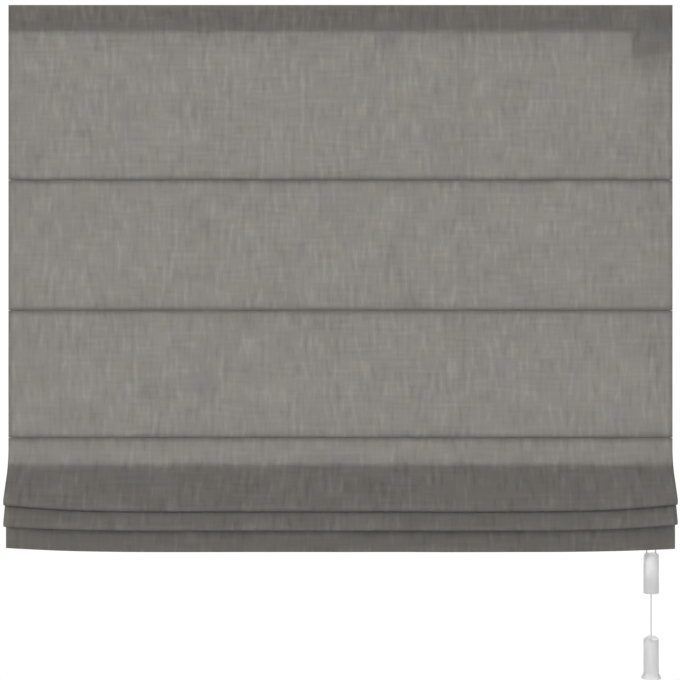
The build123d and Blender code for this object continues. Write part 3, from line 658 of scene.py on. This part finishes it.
def columnPlaces():  # even columns, some moved to the notches' bounds, and more at the side welds
    half, columns = clothSpec["width"] / 2, clothSpec["columns"]
    places = [-half + 2 * half * i / columns for i in range(columns + 1)]
    notch = clothSpec["notch"]
    for middle in notch["places"]:
        for bound in (middle - notch["half"], middle + notch["half"]):
            nearest = min(range(1, columns), key=lambda i: abs(places[i] - bound))
            places[nearest] = bound
    extra = [sideWeld + k * clothSpec["weld"]["half"] for k in (-1, 0, 1)]
    return sorted(places + extra + [-x for x in extra])


def sideOf(x):  # 0 on the left, 1 on the right
    return 0 if x < 0 else 1


def sideLift(x):  # nought over the middle, rising to one at each side
    run = clothSpec["width"] / 2 - clothSpec["bowStart"]
    return max(0.0, (abs(x) - clothSpec["bowStart"]) / run) ** 2


def rippleAt(x, spot):  # slight waves between the rods, none at them
    ripple = clothSpec["ripple"]
    z = spot.z / mm
    bounds = (clothSpec["top"] - ripple["start"], *clothSpec["seams"])
    for above, below in zip(bounds, bounds[1:]):
        if below < z < above and abs(spot.y / mm - clothFront) < clothSpec["slack"]:
            hold = math.sin(math.pi * (above - z) / (above - below)) ** 2
            place = Vector((x * ripple["size"], z * ripple["size"], ripple["seed"]))
            return ripple["height"] * hold * noise.noise(place)
    return 0.0


def shapeCloth(bm, rank, middle, sides, places):  # sets each point between the middle's and a side's section
    wave, weld = clothSpec["lipWave"], clothSpec["weld"]
    for vert in bm.verts:
        i = vert[rank]
        x = places[round(vert.co.x / mm)]
        lift = sideLift(x) + noise.noise(Vector((x * wave["size"], wave["seed"], 0))) * wave["share"]
        spot = middle[i].lerp(sides[sideOf(x)][i], lift)
        onWeld = abs(abs(x) - sideWeld) < clothSpec["slack"]
        proud = rippleAt(x, spot) - (weld["height"] if onWeld else 0)
        vert.co = (x * mm, spot.y + proud * mm, spot.z)


def mapCloth(bm, rank, along):  # the weave's map, as the cloth lies flat
    uv = bm.loops.layers.uv.new("clothMap")
    for face in bm.faces:
        for loop in face.loops:
            loop[uv].uv = (loop.vert.co.x, along[loop.vert[rank]])


def cutNotches(bm):  # openings in the rod pockets for the rod clips
    notch, heights = clothSpec["notch"], clothSpec["seams"] + clothSpec["gathered"]
    gone = []
    for face in bm.faces:
        spot = face.calc_center_median() / mm
        inNotch = any(abs(spot.x - x) < notch["half"] for x in notch["places"])
        atSeam = any(abs(spot.z - z) < notch["reach"] for z in heights)
        if inNotch and atSeam and spot.y > notch["front"]:
            gone.append(face)
    bmesh.ops.delete(bm, geom=gone, context="FACES")


def makeCloth():
    bm, middle, cuts = clothChain(None, None)
    sides = []
    for side in (0, 1):
        sideMesh, points, cuts = clothChain(side, cuts)
        sideMesh.free()
        sides.append(points)
    along = [0.0]
    for a, b in zip(middle, middle[1:]):
        along.append(along[-1] + (b - a).length)
    rank = bm.verts.layers.int.new("rank")  # a point's number along the section
    for i, vert in enumerate(walkChain(bm, middle[0])):
        vert[rank] = i
    places = columnPlaces()
    bmesh.ops.spin(bm, geom=bm.verts[:] + bm.edges[:], cent=(0, 0, 0), axis=(1, 0, 0), angle=0,
                   dvec=(mm, 0, 0), steps=len(places) - 1)  # one column to a millimetre, until it is shaped
    shapeCloth(bm, rank, middle, sides, places)
    mapCloth(bm, rank, along)
    cutNotches(bm)
    bmesh.ops.recalc_face_normals(bm, faces=bm.faces)
    piece = addPiece("clothSheet", finishMesh("clothSheet", bm), "slubWeave")
    wall = piece.modifiers.new("thickness", "SOLIDIFY")
    wall.thickness = clothSpec["thickness"] * mm
    wall.offset = 0
    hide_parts("cloth")
    return piece, along[-1]


cloth, clothLength = makeCloth()

# stitches: one row on each face of a flat seam's pocket, and one along the hem's turned-up edge
stitchSpec = {
    "pitch": 3.4, "half": (1.25, 0.3, 0.3), "end": 396.0,
    "neckY": -34.3, "neckRise": 1.62, "hemY": -48.72, "hemZ": -609.6,
}


def makeStitches(spec):
    bm = bmesh.new()
    rows = [(spec["hemY"], spec["hemZ"])]
    for z in clothSpec["seams"]:
        rows += [(spec["neckY"], z + spec["neckRise"]), (spec["neckY"], z - spec["neckRise"])]
    size = Matrix.Diagonal((*(Vector(spec["half"]) * mm), 1))
    for y, z in rows:
        place = Matrix.Translation(Vector((-spec["end"], y, z)) * mm)
        bmesh.ops.create_icosphere(bm, subdivisions=1, radius=1, matrix=place @ size)
    count = int(2 * spec["end"] / spec["pitch"])
    bmesh.ops.spin(bm, geom=bm.verts[:] + bm.edges[:] + bm.faces[:], cent=(0, 0, 0), axis=(1, 0, 0), angle=0,
                   dvec=(spec["pitch"] * mm, 0, 0), steps=count, use_duplicate=True)
    for vert in bm.verts:
        if vert.co.z < clothSpec["gathered"][1] * mm:  # the hem's row follows the hem's rise
            x = vert.co.x / mm
            vert.co.z += sideLift(x) * hemLift[sideOf(x)] * mm
    return addPiece("seamStitches", finishMesh("seamStitches", bm), "seamThread")


stitches = makeStitches(stitchSpec)
print("cloth hung,", round(clothLength, 4), "m long when flat, faces:", len(cloth.data.polygons),
      "and in its stitches:", len(stitches.data.polygons))


# pale floor, pale surroundings with a white wall of light behind the blind, and soft lamps, all in metres
floorSpec = {
    "height": -1.7, "reach": 3.6, "grain": (3, 3, 3), "detail": 4.0,
    "shades": ((0.3, 0.6), (0.7, 0.64)), "sockets": {"Roughness": 0.7},
}
glowSpec = {"around": 0.58, "aroundTo": 0.86, "behind": 1.04, "behindFrom": 0.96}
lampSpec = {
    "windowLamp": {
        "place": (0, 0.75, -0.3), "aim": (0, 0, -0.3), "size": (1.1, 0.95), "power": 2.0, "spread": 40,
    },
    "keyLamp": {
        "place": (-0.5, -3.2, 0.5), "aim": (0, 0, -0.35), "size": (1.8, 1.8), "power": 50.0, "spread": 180,
    },
}


def layFloor(spec):
    bm = bmesh.new()
    bmesh.ops.create_grid(bm, x_segments=1, y_segments=1, size=spec["reach"],
                          matrix=Matrix.Translation((0, 0, spec["height"])))
    mesh = finishMesh("floor", bm, smooth=False)
    floor = bpy.data.objects.new("floor", mesh)
    scene.collection.objects.link(floor)
    material, tree = newMaterial("paleFloor")
    pattern = noiseOf(tree, scaledCoords(tree, "Object", spec["grain"]), spec["detail"])
    outputOf(tree, surfaceOf(tree, spec["sockets"], ramp(tree, pattern, greys(spec["shades"]))))
    mesh.materials.append(material)


def lightSurroundings(spec):
    world = bpy.data.worlds.new("surroundings")
    world.use_nodes = True
    tree = world.node_tree
    direction = addNode(tree, "ShaderNodeTexCoord")
    split = addNode(tree, "ShaderNodeSeparateXYZ")
    tree.links.new(direction.outputs["Generated"], split.inputs["Vector"])
    stops = greys(((spec["aroundTo"], spec["around"]), (spec["behindFrom"], spec["behind"])))
    tree.links.new(ramp(tree, split.outputs["Y"], stops), tree.nodes["Background"].inputs["Color"])
    scene.world = world


def softLamp(name, spec):
    lamp = bpy.data.lights.new(name, "AREA")
    lamp.shape = "RECTANGLE"
    lamp.size, lamp.size_y = spec["size"]
    lamp.spread = math.radians(spec["spread"])
    lamp.energy = spec["power"]
    holder = bpy.data.objects.new(name, lamp)
    holder.location = spec["place"]
    aim = Vector(spec["aim"]) - Vector(spec["place"])
    holder.rotation_euler = aim.to_track_quat("-Z", "Y").to_euler()
    holder.visible_camera = False
    scene.collection.objects.link(holder)


layFloor(floorSpec)
lightSurroundings(glowSpec)
for name, spec in lampSpec.items():
    softLamp(name, spec)
scene.view_settings.view_transform = "Standard"
print("stage lit")
